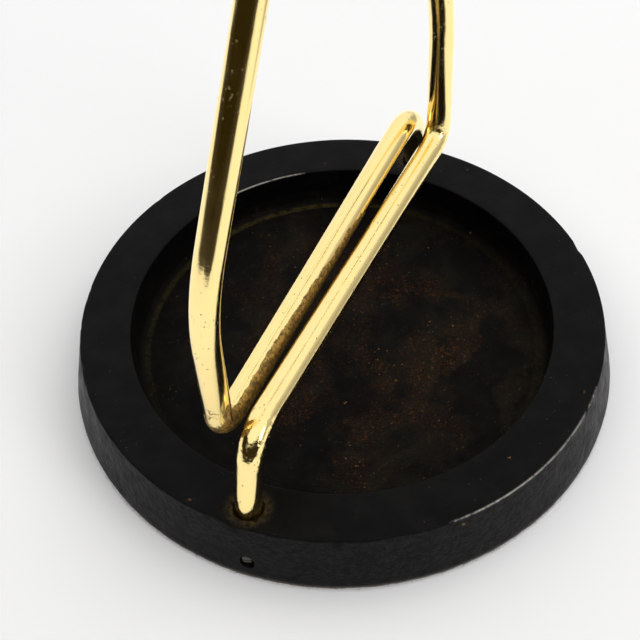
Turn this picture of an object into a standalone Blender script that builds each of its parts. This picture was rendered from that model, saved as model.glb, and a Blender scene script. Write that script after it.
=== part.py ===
"""Umbrella and stick stand: a black cast-iron drip dish that carries two bent brass rods and a ring.

Metres, +Z up. The origin is the middle of the underside, on the floor. The front is -Y.
The two rods are the same bar bent the same way, one turned half a turn about the Z axis from
the other. Each one rises from a socket in the rim, crosses the dish just beside the axis, bends
up sharply over the far rim, leans back in, passes its twin at the waist and ends under the ring.
"""
import math

import bmesh
import bpy
from mathutils import Matrix, Vector

# Clearance kept between pieces that touch.
GAP = 0.0003

# Base casting, measured from the floor up.
BASE_HEIGHT = 0.0246
BASE_TOP_RADIUS = 0.1
SIDE_FLARE = 0.0042
RIM_WIDTH = 0.0196
DISH_DEPTH = 0.016
DISH_DRAFT = 0.0012
DISH_COVE = 0.0022
DISH_CROWN = 0.0005
EDGE_ROUND = 0.0011
FOOT_CHAMFER = 0.0006
BASE_SEGMENTS = 96

# Felt glued under the casting.
FELT_THICKNESS = 0.0015
FELT_INSET = 0.0004

# Brass rods.
ROD_DIAMETER = 0.0096
ROD_SIDES_RESOLUTION = 6
FOOT_BEND_RADIUS = 0.024
ELBOW_BEND_RADIUS = 0.014
KNEE_BEND_RADIUS = 0.009
SHOULDER_BEND_RADIUS = 0.08
BEND_STEP = math.radians(9)
FOOT_EDGE_DISTANCE = 0.0087
FOOT_AZIMUTH = math.radians(-113.2)
FOOT_DEPTH = 0.018
FOOT_BEND_RISE = 0.003
ELBOW_INSET = 0.0074
FRONT_ELBOW_RISE = 0.0310
REAR_ELBOW_RISE = 0.0330
PASS_GAP = 0.0031
KNEE_REACH = 0.0815
KNEE_HEIGHT = 0.0507
SHOULDER_RADIUS = 0.0863
SHOULDER_AZIMUTH = math.radians(59.8)
SHOULDER_HEIGHT = 0.1165
WAIST_GAP = 0.0006

# Ring at the top.
RING_RADIUS = 0.08
RING_HEIGHT = 0.482
RING_TUBE_DIAMETER = 0.0096
RING_POINTS = 72

# Brazing fillets between rods and ring.
FILLET_LENGTH = 0.006
FILLET_FLARE = 0.0022
FILLET_WALL = 0.0006
FILLET_CLEARANCE = 0.0004
FILLET_SEGMENTS = 32

# Sockets and set screws.
SOCKET_CLEARANCE = 0.0003
SOCKET_CHAMFER = 0.0006
SOCKET_SEGMENTS = 40
SCREW_HEIGHT = 0.0082
SCREW_AZIMUTH = math.radians(-99.5)
SCREW_DIAMETER = 0.0048
SCREW_CLEARANCE = 0.0003
SCREW_RECESS = 0.0009
SCREW_SLOT_WIDTH = 0.0009
SCREW_SLOT_DEPTH = 0.0013
SCREW_SEGMENTS = 28

# Worked out from the values above.
ROD_RADIUS = ROD_DIAMETER / 2
BASE_FOOT_RADIUS = BASE_TOP_RADIUS + SIDE_FLARE
CASTING_BOTTOM = FELT_THICKNESS + GAP
DISH_RADIUS = BASE_TOP_RADIUS - RIM_WIDTH
DISH_FLOOR = BASE_HEIGHT - DISH_DEPTH
FOOT_RADIUS = BASE_TOP_RADIUS - FOOT_EDGE_DISTANCE
FOOT_BOTTOM = BASE_HEIGHT - FOOT_DEPTH
SOCKET_RADIUS = ROD_RADIUS + SOCKET_CLEARANCE
SOCKET_BOTTOM = FOOT_BOTTOM - GAP
TURNS = {"front": 0.0, "rear": math.pi}


def clear_scene():
    for obj in list(bpy.data.objects):
        bpy.data.objects.remove(obj, do_unlink=True)


def make_material(name, colour, roughness, metallic):
    material = bpy.data.materials.new(name)
    material.use_nodes = True
    shader = material.node_tree.nodes["Principled BSDF"]
    shader.inputs["Base Color"].default_value = (*colour, 1.0)
    shader.inputs["Roughness"].default_value = roughness
    shader.inputs["Metallic"].default_value = metallic
    return material


def add_object(name, data, material):
    obj = bpy.data.objects.new(name, data)
    bpy.context.scene.collection.objects.link(obj)
    data.materials.append(material)
    return obj


def add_solid(name, bm, material):
    """Turn a bmesh into an object, with its faces out and its round sides shaded smooth."""
    bmesh.ops.recalc_face_normals(bm, faces=bm.faces)
    mesh = bpy.data.meshes.new(name)
    bm.to_mesh(mesh)
    bm.free()
    mesh.shade_smooth()
    mesh.set_sharp_from_angle(angle=math.radians(35))
    return add_object(name, mesh, material)


def revolve(profile, segments):
    """Spin a profile of (radius, height) points that starts and ends on the Z axis."""
    bm = bmesh.new()
    verts = [bm.verts.new((radius, 0.0, height)) for radius, height in profile]
    edges = [bm.edges.new(pair) for pair in zip(verts, verts[1:])]
    bmesh.ops.spin(bm, geom=verts + edges, cent=(0, 0, 0), axis=(0, 0, 1),
                   angle=2 * math.pi, steps=segments, use_merge=True)
    bmesh.ops.remove_doubles(bm, verts=bm.verts, dist=1e-6)
    return bm


def arc(centre, radius, start, end, steps):
    """Points of a profile arc; the angles are in degrees from +radius towards +height."""
    angles = [math.radians(start + (end - start) * i / steps) for i in range(steps + 1)]
    return [(centre[0] + radius * math.cos(a), centre[1] + radius * math.sin(a)) for a in angles]


def casting_profile():
    """Outline of the casting from the underside, over the rim, to the middle of the dish."""
    rim_in = DISH_RADIUS + EDGE_ROUND
    rim_out = BASE_TOP_RADIUS - EDGE_ROUND
    wall_foot = DISH_RADIUS - DISH_DRAFT
    under = [(0, CASTING_BOTTOM), (BASE_FOOT_RADIUS - FOOT_CHAMFER, CASTING_BOTTOM)]
    side = [(BASE_FOOT_RADIUS, CASTING_BOTTOM + FOOT_CHAMFER)]
    outer_edge = arc((rim_out, BASE_HEIGHT - EDGE_ROUND), EDGE_ROUND, 0, 90, 3)
    inner_edge = arc((rim_in, BASE_HEIGHT - EDGE_ROUND), EDGE_ROUND, 90, 180, 3)
    cove = arc((wall_foot - DISH_COVE, DISH_FLOOR + DISH_COVE), DISH_COVE, 0, -90, 4)
    return under + side + outer_edge + inner_edge + cove + [(0, DISH_FLOOR + DISH_CROWN)]


def foot_point(turn, height):
    azimuth = FOOT_AZIMUTH + turn
    return Vector((FOOT_RADIUS * math.cos(azimuth), FOOT_RADIUS * math.sin(azimuth), height))


def screw_direction(turn):
    """Level direction from a socket's axis out along its set screw."""
    azimuth = SCREW_AZIMUTH + turn
    return Vector((math.cos(azimuth), math.sin(azimuth), 0.0))


def add_cutter(name, bm):
    bmesh.ops.recalc_face_normals(bm, faces=bm.faces)
    mesh = bpy.data.meshes.new(name)
    bm.to_mesh(mesh)
    bm.free()
    cutter = bpy.data.objects.new(name, mesh)
    bpy.context.scene.collection.objects.link(cutter)
    cutter.hide_render = True
    cutter.display_type = "WIRE"
    return cutter


def cut(target, cutter):
    boolean = target.modifiers.new(cutter.name, "BOOLEAN")
    boolean.operation = "DIFFERENCE"
    boolean.object = cutter


def socket_cutter(side):
    """Blind hole for a rod's foot, with a countersunk mouth."""
    over = 0.002
    mouth = SOCKET_RADIUS + SOCKET_CHAMFER
    profile = [(0, SOCKET_BOTTOM), (SOCKET_RADIUS, SOCKET_BOTTOM),
               (SOCKET_RADIUS, BASE_HEIGHT - SOCKET_CHAMFER),
               (mouth, BASE_HEIGHT), (mouth, BASE_HEIGHT + over), (0, BASE_HEIGHT + over)]
    cutter = add_cutter(f"cutter_socket_{side}", revolve(profile, SOCKET_SEGMENTS))
    cutter.location = foot_point(TURNS[side], 0.0)
    return cutter


def screw_matrix(side, start):
    """Frame whose Z axis runs out along a set screw, from a distance beside the socket's axis."""
    direction = screw_direction(TURNS[side])
    place = foot_point(TURNS[side], SCREW_HEIGHT) + direction * start
    return Matrix.Translation(place) @ direction.to_track_quat("Z", "X").to_matrix().to_4x4()


def screw_hole_cutter(side):
    """Hole from the socket's axis out through the side of the casting."""
    length = screw_run() + 0.005
    radius = SCREW_DIAMETER / 2 + SCREW_CLEARANCE
    bm = bmesh.new()
    bmesh.ops.create_cone(bm, cap_ends=True, segments=SCREW_SEGMENTS, radius1=radius,
                          radius2=radius, depth=length,
                          matrix=Matrix.Translation((0, 0, length / 2)))
    cutter = add_cutter(f"cutter_screw_{side}", bm)
    cutter.matrix_world = screw_matrix(side, 0.0)
    return cutter


def build_casting(material):
    casting = add_solid("base_casting", revolve(casting_profile(), BASE_SEGMENTS), material)
    for side in TURNS:
        cut(casting, socket_cutter(side))
        cut(casting, screw_hole_cutter(side))


def build_felt(material):
    radius = BASE_FOOT_RADIUS - FELT_INSET
    profile = [(0, 0), (radius, 0), (radius, FELT_THICKNESS), (0, FELT_THICKNESS)]
    add_solid("felt_pad", revolve(profile, BASE_SEGMENTS), material)


def casting_side_radius(height):
    """Radius of the casting's tapered side at a height."""
    low = CASTING_BOTTOM + FOOT_CHAMFER
    high = BASE_HEIGHT - EDGE_ROUND
    share = (height - low) / (high - low)
    return BASE_FOOT_RADIUS + (BASE_TOP_RADIUS - BASE_FOOT_RADIUS) * share


def screw_run():
    """Distance along a screw's axis from the socket's axis to the casting's side."""
    side_radius = casting_side_radius(SCREW_HEIGHT)
    swing = SCREW_AZIMUTH - FOOT_AZIMUTH
    aside = FOOT_RADIUS * math.sin(swing)
    return math.sqrt(side_radius ** 2 - aside ** 2) - FOOT_RADIUS * math.cos(swing)


def build_set_screw(side, material):
    """Headless slotted screw whose point bears on the rod's foot."""
    point = ROD_RADIUS + GAP
    length = screw_run() - SCREW_RECESS - point
    radius = SCREW_DIAMETER / 2
    bevel = radius * 0.3
    slot_floor = length - SCREW_SLOT_DEPTH
    profile = [(0, 0), (radius - bevel, 0), (radius, bevel), (radius, length), (0, length)]
    screw = add_solid(f"set_screw_{side}", revolve(profile, SCREW_SEGMENTS), material)
    slot = bmesh.new()
    bmesh.ops.create_cube(slot, size=1.0)
    bmesh.ops.scale(slot, vec=(SCREW_SLOT_WIDTH, 4 * radius, 2 * SCREW_SLOT_DEPTH), verts=slot.verts)
    bmesh.ops.translate(slot, vec=(0, 0, slot_floor + SCREW_SLOT_DEPTH), verts=slot.verts)
    cutter = add_cutter(f"cutter_slot_{side}", slot)
    cutter.matrix_world = screw_matrix(side, point)
    screw.matrix_world = screw_matrix(side, point)
    cut(screw, cutter)


def rounded_route(corners, radii):
    """Points along a bar through the corners, with an arc of the given radius at each one."""
    route = [corners[0]]
    for before, corner, after, radius in zip(corners, corners[1:], corners[2:], radii):
        into = (corner - before).normalized()
        out = (after - corner).normalized()
        turn = into.angle(out)
        bend = min(radius, bend_limit(before, corner, after, turn))
        tangent = bend * math.tan(turn / 2)
        start = corner - into * tangent
        inward = (out - into * into.dot(out)).normalized()
        centre = start + inward * bend
        steps = max(2, math.ceil(turn / BEND_STEP))
        for i in range(steps + 1):
            angle = turn * i / steps
            route.append(centre - inward * bend * math.cos(angle) + into * bend * math.sin(angle))
    return route + [corners[-1]]


def bend_limit(before, corner, after, turn):
    """Largest bend radius whose arc takes up less than half of both neighbouring lengths."""
    room = 0.49 * min((corner - before).length, (after - corner).length)
    return room / math.tan(turn / 2)


def aimed_beside_axis(point, miss):
    """Level direction from a point across the base that passes the axis at a given distance."""
    distance = math.hypot(point.x, point.y)
    azimuth = math.atan2(-point.y, -point.x) - math.asin(miss / distance)
    return Vector((math.cos(azimuth), math.sin(azimuth), 0.0))


def polar(radius, azimuth, height):
    return Vector((radius * math.cos(azimuth), radius * math.sin(azimuth), height))


def beyond_axis(start, miss, reach, height):
    """Point past the axis on a level line that leaves start and passes the axis at miss."""
    heading = aimed_beside_axis(start, miss)
    aside = Vector((heading.y, -heading.x, 0.0))
    return heading * reach + aside * miss + Vector((0, 0, height))


def rod_corners(elbow_rise):
    """Corners of the rod whose foot is in the front socket, from its foot to the ring."""
    foot = foot_point(0.0, FOOT_BOTTOM)
    foot_bend = foot_point(0.0, BASE_HEIGHT + FOOT_BEND_RISE)
    elbow = polar(FOOT_RADIUS - ELBOW_INSET, FOOT_AZIMUTH, BASE_HEIGHT + elbow_rise)
    knee = beyond_axis(elbow, (ROD_DIAMETER + PASS_GAP) / 2, KNEE_REACH, KNEE_HEIGHT)
    shoulder = polar(SHOULDER_RADIUS, SHOULDER_AZIMUTH, SHOULDER_HEIGHT)
    return [foot, foot_bend, elbow, knee, shoulder, rod_end(shoulder)]


def ring_meeting_point(shoulder):
    """Point on the ring's centre line that the rod's upper length aims at."""
    waist_miss = (ROD_DIAMETER + WAIST_GAP) / 2
    reach = math.sqrt(RING_RADIUS ** 2 - waist_miss ** 2)
    return beyond_axis(shoulder, waist_miss, reach, RING_HEIGHT)


def rod_end(shoulder):
    target = ring_meeting_point(shoulder)
    direction = (target - shoulder).normalized()
    ring_curve = ROD_RADIUS ** 2 / (2 * RING_RADIUS)
    return target - direction * (RING_TUBE_DIAMETER / 2 + GAP + ring_curve)


def add_tube(name, points, diameter, cyclic, material):
    """Round bar along a list of points."""
    curve = bpy.data.curves.new(name, "CURVE")
    curve.dimensions = "3D"
    curve.bevel_depth = diameter / 2
    curve.bevel_resolution = ROD_SIDES_RESOLUTION
    curve.use_fill_caps = not cyclic
    spline = curve.splines.new("POLY")
    spline.points.add(len(points) - 1)
    for spline_point, place in zip(spline.points, points):
        spline_point.co = (*place, 1.0)
    spline.use_cyclic_u = cyclic
    spline.use_smooth = True
    return add_object(name, curve, material)


def turned(points, turn):
    rotation = Matrix.Rotation(turn, 3, "Z")
    return [rotation @ point for point in points]


def build_rod(side, elbow_rise, material):
    corners = turned(rod_corners(elbow_rise), TURNS[side])
    radii = [FOOT_BEND_RADIUS, ELBOW_BEND_RADIUS, KNEE_BEND_RADIUS, SHOULDER_BEND_RADIUS]
    add_tube(f"rod_{side}", rounded_route(corners, radii), ROD_DIAMETER, False, material)


def build_ring(material):
    angles = [2 * math.pi * i / RING_POINTS for i in range(RING_POINTS)]
    points = [polar(RING_RADIUS, angle, RING_HEIGHT) for angle in angles]
    add_tube("top_ring", points, RING_TUBE_DIAMETER, True, material)


def build_fillet(side, material):
    """Flared collar of brazing metal round the end of a rod, just under the ring."""
    shoulder = polar(SHOULDER_RADIUS, SHOULDER_AZIMUTH, SHOULDER_HEIGHT)
    end, target, shoulder = turned([rod_end(shoulder), ring_meeting_point(shoulder), shoulder],
                                   TURNS[side])
    direction = (target - shoulder).normalized()
    bore = ROD_RADIUS + GAP
    top = -FILLET_CLEARANCE
    bottom = top - FILLET_LENGTH
    middle = (top + bottom) / 2
    outline = [(bore, bottom), (bore + FILLET_WALL, bottom),
               (bore + FILLET_WALL + FILLET_FLARE * 0.3, middle),
               (bore + FILLET_WALL + FILLET_FLARE, top), (bore, top)]
    bm = bmesh.new()
    verts = [bm.verts.new((radius, 0.0, height)) for radius, height in outline]
    edges = [bm.edges.new(pair) for pair in zip(verts, verts[1:] + verts[:1])]
    bmesh.ops.spin(bm, geom=verts + edges, cent=(0, 0, 0), axis=(0, 0, 1),
                   angle=2 * math.pi, steps=FILLET_SEGMENTS, use_merge=True)
    bmesh.ops.remove_doubles(bm, verts=bm.verts, dist=1e-6)
    fillet = add_solid(f"braze_fillet_{side}", bm, material)
    frame = direction.to_track_quat("Z", "X").to_matrix().to_4x4()
    fillet.matrix_world = Matrix.Translation(end) @ frame


def main():
    clear_scene()
    iron = make_material("black_iron", (0.012, 0.012, 0.012), 0.42, 0.0)
    brass = make_material("polished_brass", (0.78, 0.53, 0.2), 0.16, 1.0)
    filler = make_material("brazing_metal", (0.66, 0.46, 0.2), 0.3, 1.0)
    steel = make_material("dark_steel", (0.11, 0.1, 0.09), 0.4, 1.0)
    felt = make_material("brown_felt", (0.075, 0.055, 0.04), 0.95, 0.0)
    build_casting(iron)
    build_felt(felt)
    build_rod("front", FRONT_ELBOW_RISE, brass)
    build_rod("rear", REAR_ELBOW_RISE, brass)
    build_ring(brass)
    for side in TURNS:
        build_fillet(side, filler)
        build_set_screw(side, steel)


main()
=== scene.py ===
"""Looks for the umbrella and stick stand: rusty iron dish, felt, worn brass bars and set screws.

Metres, in the frame of the CAD model. The two bars follow the same route as in the CAD model, with
finer bends, and every piece rides on the body of the CAD node that it stands for.
"""

import math
import random

import bmesh
import bpy
import numpy as np
from mathutils import Matrix, Vector, noise


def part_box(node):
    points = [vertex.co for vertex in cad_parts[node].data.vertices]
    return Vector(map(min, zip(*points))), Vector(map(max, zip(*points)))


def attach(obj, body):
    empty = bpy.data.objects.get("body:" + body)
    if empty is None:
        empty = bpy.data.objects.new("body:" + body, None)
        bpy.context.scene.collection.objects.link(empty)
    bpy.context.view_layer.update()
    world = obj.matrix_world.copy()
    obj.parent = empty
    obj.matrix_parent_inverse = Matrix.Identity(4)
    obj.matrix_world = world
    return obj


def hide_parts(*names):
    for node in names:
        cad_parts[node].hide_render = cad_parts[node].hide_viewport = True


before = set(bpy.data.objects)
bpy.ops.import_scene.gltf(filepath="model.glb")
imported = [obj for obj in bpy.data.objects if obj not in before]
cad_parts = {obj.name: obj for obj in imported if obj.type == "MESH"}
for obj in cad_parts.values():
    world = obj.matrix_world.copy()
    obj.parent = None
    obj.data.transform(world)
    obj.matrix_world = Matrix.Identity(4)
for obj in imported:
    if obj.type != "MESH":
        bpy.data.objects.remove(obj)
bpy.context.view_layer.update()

# Base casting, as in the CAD model but with finer edges.
BASE_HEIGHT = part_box("base_casting")[1][2]
CASTING_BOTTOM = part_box("base_casting")[0][2]
BASE_FOOT_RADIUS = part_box("base_casting")[1][0]
BASE_TOP_RADIUS = 0.1
RIM_WIDTH = 0.0196
DISH_DEPTH = 0.016
DISH_DRAFT = 0.0012
DISH_COVE = 0.0026
DISH_CROWN = 0.0005
OUTER_EDGE_ROUND = 0.0010
INNER_EDGE_ROUND = 0.0007
FOOT_ROUND = 0.0008
BASE_SEGMENTS = 432
SIDE_STEPS = 14
RIM_STEPS = 12
FLOOR_STEPS = 40
CASTING_SHARP_ANGLE = 50.0

# Sockets and set screws, as in the CAD model.
FOOT_EDGE_DISTANCE = 0.0087
FOOT_AZIMUTH = math.radians(-113.2)
FOOT_DEPTH = 0.018
SOCKET_CLEARANCE = 0.0003
SOCKET_CHAMFER = 0.0006
SOCKET_SEGMENTS = 64
SCREW_HEIGHT = 0.0082
SCREW_AZIMUTH = math.radians(-99.5)
SCREW_DIAMETER = 0.0048
SCREW_CLEARANCE = 0.0003
SCREW_RECESS = 0.0009
SCREW_PITCH = 0.0008
SCREW_THREAD_DEPTH = 0.00035
SCREW_SLOT_WIDTH = 0.0009
SCREW_SLOT_DEPTH = 0.0013
SCREW_POINT_SHARE = 0.72

# Brass bars, as in the CAD model.
GAP = 0.0003
ROD_RADIUS = 0.0048
FOOT_BEND_RADIUS = 0.024
ELBOW_BEND_RADIUS = 0.014
KNEE_BEND_RADIUS = 0.009
SHOULDER_BEND_RADIUS = 0.08
FOOT_BEND_RISE = 0.003
ELBOW_INSET = 0.0074
ELBOW_RISES = {"front": 0.0310, "rear": 0.0330}
PASS_GAP = 0.0031
KNEE_REACH = 0.0815
KNEE_HEIGHT = 0.0507
SHOULDER_RADIUS = 0.0863
SHOULDER_AZIMUTH = math.radians(59.8)
SHOULDER_HEIGHT = 0.1165
WAIST_GAP = 0.0006
RING_RADIUS = 0.08
RING_HEIGHT = 0.482
RING_TUBE_RADIUS = 0.0048

# Unevenness of the casting, and how wide its worn edges and brown stains are.
WAVE_SCALE = 55.0
GRAIN_SCALE = 260.0
NICK_SCALE = 150.0
NICK_WIDTH = 0.0016
NICK_DEPTH = 0.0014
OUTER_WEAR_WIDTH = 0.0008
INNER_WEAR_WIDTH = 0.0006
WEAR_CONTRAST = 1.9
STAIN_START = 0.0006
STAIN_END = 0.0044

# Fineness and small sizes of the visual meshes.
ROD_STEP = 0.0011
ROD_SIDES = 48
ROD_SMOOTHING = 0.0024
ROD_END_ROUND = 0.0004
FULLY_BENT = 0.22
RING_SEGMENTS = 400
FELT_SEGMENTS = 720
FELT_FRAY = 0.0035
FIBRE_COUNT = 420
FIBRE_RADIUS = 0.00004
SCREW_STEPS = 96
SCREW_SIDES = 36
FILLET_SIDES = 64
FILLET_STEPS = 12
FILLET_LENGTH = 0.006
FILLET_FLARE = 0.0026
FILLET_SKIN = 0.00012
FILLET_RAGGED = 0.12

# Tarnish on the bars: between the two runs and under the knees.
TARNISH_LIFT = 0.1
TARNISH_TOP = 0.07
KNEE_TARNISH_REACH = 0.083
TARNISH_SHARE = {"front": 0.16, "rear": 1.0}

# Camera, floor and light.
CAMERA_PLACE = (-0.0081, -0.3420, 0.4251)
CAMERA_PITCH = math.radians(49.63)
CAMERA_ROLL = math.radians(-3.12)
CAMERA_LENS = 77.53
SENSOR_WIDTH = 36.0
FLOOR_SHADE = 0.81
FLOOR_HALF_SIZE = 6.0
FLOOR_HEIGHT = -0.0002
FRONT_LIGHT = (0.724, -0.553, 0.412)
DARK_ROOM = (0.024, 0.017, 0.003, 1.0)
DARK_FLOOR = (0.020, 0.014, 0.002, 1.0)

TURNS = {"front": 0.0, "rear": math.pi}

# Worked out from the values above.
DISH_RADIUS = BASE_TOP_RADIUS - RIM_WIDTH
DISH_FLOOR = BASE_HEIGHT - DISH_DEPTH
FOOT_RADIUS = BASE_TOP_RADIUS - FOOT_EDGE_DISTANCE
FOOT_BOTTOM = BASE_HEIGHT - FOOT_DEPTH
SOCKET_RADIUS = ROD_RADIUS + SOCKET_CLEARANCE
SCREW_RADIUS = SCREW_DIAMETER / 2
RUN_MISS = ROD_RADIUS + PASS_GAP / 2
RUN_AZIMUTH = FOOT_AZIMUTH + math.pi - math.asin(RUN_MISS / (FOOT_RADIUS - ELBOW_INSET))


# Shader helpers


class Graph:
    """Short calls for building a node tree."""

    def __init__(self, tree):
        self.tree = tree

    def node(self, kind, inputs=None, **settings):
        made = self.tree.nodes.new(kind)
        for name, value in settings.items():
            setattr(made, name, value)
        for socket, value in (inputs or {}).items():
            self.feed(made.inputs[socket], value)
        return made

    def feed(self, socket, value):
        if isinstance(value, bpy.types.NodeSocket):
            self.tree.links.new(value, socket)
        else:
            socket.default_value = value

    def maths(self, operation, first, second=0.0, clamp=False):
        made = self.node("ShaderNodeMath", {0: first, 1: second}, operation=operation,
                         use_clamp=clamp)
        return made.outputs[0]

    def ramp(self, value, low, high, out_low=0.0, out_high=1.0):
        """Smooth change from out_low to out_high as value goes from low to high."""
        made = self.node("ShaderNodeMapRange",
                         {"Value": value, "From Min": low, "From Max": high,
                          "To Min": out_low, "To Max": out_high}, interpolation_type="SMOOTHSTEP")
        return made.outputs["Result"]

    def noise(self, coords, scale, detail=4.0, roughness=0.55, distortion=0.0):
        made = self.node("ShaderNodeTexNoise",
                         {"Vector": coords, "Scale": scale, "Detail": detail,
                          "Roughness": roughness, "Distortion": distortion})
        return made.outputs[0]

    def stretched(self, coords, scale):
        made = self.node("ShaderNodeVectorMath", {0: coords, 1: scale}, operation="MULTIPLY")
        return made.outputs[0]

    def spots(self, coords, scale, size, softness=0.08):
        """1 inside scattered round spots of about size / scale, 0 between them."""
        made = self.node("ShaderNodeTexVoronoi", {"Vector": coords, "Scale": scale})
        return self.ramp(made.outputs["Distance"], size, size + softness, 1.0, 0.0)

    def mix(self, factor, first, second):
        made = self.node("ShaderNodeMix", {0: factor, 6: first, 7: second}, data_type="RGBA")
        return made.outputs[2]

    def bump(self, height, distance, strength=1.0, normal=None):
        inputs = {"Height": height, "Distance": distance, "Strength": strength}
        if normal is not None:
            inputs["Normal"] = normal
        return self.node("ShaderNodeBump", inputs).outputs[0]


def new_material(name):
    material = bpy.data.materials.new(name)
    material.use_nodes = True
    graph = Graph(material.node_tree)
    return material, graph, material.node_tree.nodes["Principled BSDF"]


def grey(value):
    return (value, value, value, 1.0)


# Materials


def near_azimuth(g, place, azimuth, spread):
    """1 on the side of the axis that faces an azimuth, falling to 0 at spread degrees from it."""
    aim = math.radians(azimuth)
    flat = g.node("ShaderNodeCombineXYZ", {0: place.outputs[0], 1: place.outputs[1]}).outputs[0]
    heading = g.node("ShaderNodeVectorMath", {0: flat}, operation="NORMALIZE").outputs[0]
    along = g.node("ShaderNodeVectorMath", {0: heading, 1: (math.cos(aim), math.sin(aim), 0.0)},
                   operation="DOT_PRODUCT").outputs["Value"]
    return g.ramp(along, math.cos(math.radians(spread)), math.cos(math.radians(spread / 3)))


def iron_material():
    """Black finish on cast iron: semi-matt rim, rougher side, rust-flecked dish."""
    material, g, shader = new_material("worn_black_iron")
    coords = g.node("ShaderNodeTexCoord").outputs["Object"]
    place = g.node("ShaderNodeSeparateXYZ", {0: coords})
    flat = g.node("ShaderNodeCombineXYZ", {0: place.outputs[0], 1: place.outputs[1]}).outputs[0]
    radius = g.node("ShaderNodeVectorMath", {0: flat}, operation="LENGTH").outputs["Value"]
    facing = g.node("ShaderNodeNewGeometry").outputs["Normal"]
    up = g.node("ShaderNodeSeparateXYZ", {0: facing}).outputs[2]
    in_dish = g.maths("MULTIPLY", g.ramp(radius, DISH_RADIUS - 0.0002, DISH_RADIUS, 1.0, 0.0),
                      g.ramp(place.outputs[2], BASE_HEIGHT - 0.012, BASE_HEIGHT - 0.009, 1.0, 0.0))
    on_side = g.maths("MULTIPLY", g.ramp(radius, BASE_TOP_RADIUS - 0.0012, BASE_TOP_RADIUS - 0.0002),
                      g.ramp(up, 0.3, 0.7, 1.0, 0.0))

    rim_colour = g.mix(g.ramp(g.noise(coords, 90.0, 5.0), 0.35, 0.75),
                       (0.0016, 0.0016, 0.0016, 1.0), (0.0040, 0.0039, 0.0036, 1.0))
    side_colour = g.mix(g.ramp(g.noise(coords, 420.0, 4.0, 0.7), 0.35, 0.7),
                        (0.0026, 0.0026, 0.0026, 1.0), (0.0100, 0.0100, 0.0100, 1.0))
    colour = g.mix(on_side, rim_colour, side_colour)
    colour = g.mix(in_dish, colour, dish_colour(g, coords, place, radius))
    colour = with_specks(g, coords, colour)
    rub_and_highlight = rubbed_edge_and_highlight(g, coords, place, radius)
    # Worn bare metal on the rim's edges: partly wear, partly painted highlight on the edges facing the
    # front-right light.
    colour = g.mix(rub_and_highlight, colour, (0.36, 0.34, 0.31, 1.0))
    g.feed(shader.inputs["Base Color"], colour)

    roughness = g.ramp(g.noise(coords, 160.0, 4.0), 0.3, 0.7, 0.34, 0.50)
    roughness = g.maths("ADD", roughness, g.maths("MULTIPLY", in_dish, 0.30))
    roughness = g.maths("SUBTRACT", roughness, g.maths("MULTIPLY", rub_and_highlight, 0.15), clamp=True)
    g.feed(shader.inputs["Roughness"], roughness)
    g.feed(shader.inputs["Metallic"], g.maths("MULTIPLY", rub_and_highlight, 0.9))
    shader.inputs["Specular IOR Level"].default_value = 0.06

    grain = g.maths("ADD", g.noise(coords, 420.0, 4.0, 0.6),
                    g.maths("MULTIPLY", g.noise(coords, 1500.0, 3.0, 0.6), 0.5))
    depth = g.maths("ADD", g.maths("ADD", 0.30, g.maths("MULTIPLY", on_side, 0.9)),
                    g.maths("MULTIPLY", in_dish, 0.4))
    normal = g.bump(g.maths("MULTIPLY", grain, depth), 0.0003)
    lathe = g.node("ShaderNodeTexWave", {"Vector": flat, "Scale": 260.0,
                                         "Distortion": 1.2, "Detail": 2.0},
                   wave_type="RINGS", rings_direction="SPHERICAL").outputs["Fac"]
    lathe = g.maths("MULTIPLY", lathe, g.maths("MULTIPLY", g.ramp(up, 0.8, 0.95), in_dish))
    g.feed(shader.inputs["Normal"], g.bump(lathe, 0.00003, 1.0, normal))
    return material


def with_specks(g, coords, colour):
    """Iron's colour with rust specks through the finish, dust, and a brown ring round each socket."""
    chip = g.maths("MULTIPLY", g.spots(warped(g, coords, 700.0, 0.0030), 90.0, 0.050, 0.02),
                   g.ramp(g.noise(coords, 21.0, 2.0), 0.56, 0.62))
    colour = g.mix(g.maths("MULTIPLY", chip, 0.9), colour, (0.15, 0.075, 0.028, 1.0))
    dust = g.maths("MULTIPLY", g.spots(coords, 420.0, 0.070, 0.03),
                   g.ramp(g.noise(coords, 140.0, 2.0), 0.54, 0.58))
    colour = g.mix(g.maths("MULTIPLY", dust, 0.40), colour, grey(0.10))
    stain = g.node("ShaderNodeAttribute", attribute_name="socket_stain").outputs["Fac"]
    stain = g.maths("MULTIPLY", stain, g.ramp(g.noise(coords, 700.0, 5.0, 0.7), 0.36, 0.62))
    return g.mix(g.maths("MULTIPLY", stain, 0.9), colour, (0.050, 0.034, 0.012, 1.0))


def rubbed_edge_and_highlight(g, coords, place, radius):
    """1 where an edge of the rim is worn bright, most at the front right and inside at the back: edge wear,
    made strongest where the front-right light's highlight falls, as painted highlight.
    """
    worn_edge = g.node("ShaderNodeAttribute", attribute_name="worn_edge").outputs["Fac"]
    inside = g.ramp(radius, DISH_RADIUS + 0.004, DISH_RADIUS + 0.008, 1.0, 0.0)
    # These azimuths follow where the front-right light's highlight falls on the outer and inner edges.
    wear = g.mix(inside, near_azimuth(g, place, -48.0, 36.0), near_azimuth(g, place, 112.0, 22.0))
    wear = g.maths("ADD", 0.30, g.maths("MULTIPLY", wear, 0.62))
    patchy = g.maths("ADD", g.noise(coords, 330.0, 6.0, 0.75), wear)
    return g.maths("MULTIPLY", worn_edge, g.ramp(patchy, 1.22, 1.46))


def warped(g, coords, scale, amount):
    """Coordinates pushed about by noise, so that round spots come out ragged."""
    push = g.node("ShaderNodeTexNoise", {"Vector": coords, "Scale": scale, "Detail": 3.0}).outputs[1]
    push = g.node("ShaderNodeVectorMath", {0: push, 1: (amount, amount, amount)},
                  operation="MULTIPLY").outputs[0]
    return g.node("ShaderNodeVectorMath", {0: coords, 1: push}, operation="ADD").outputs[0]


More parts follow.
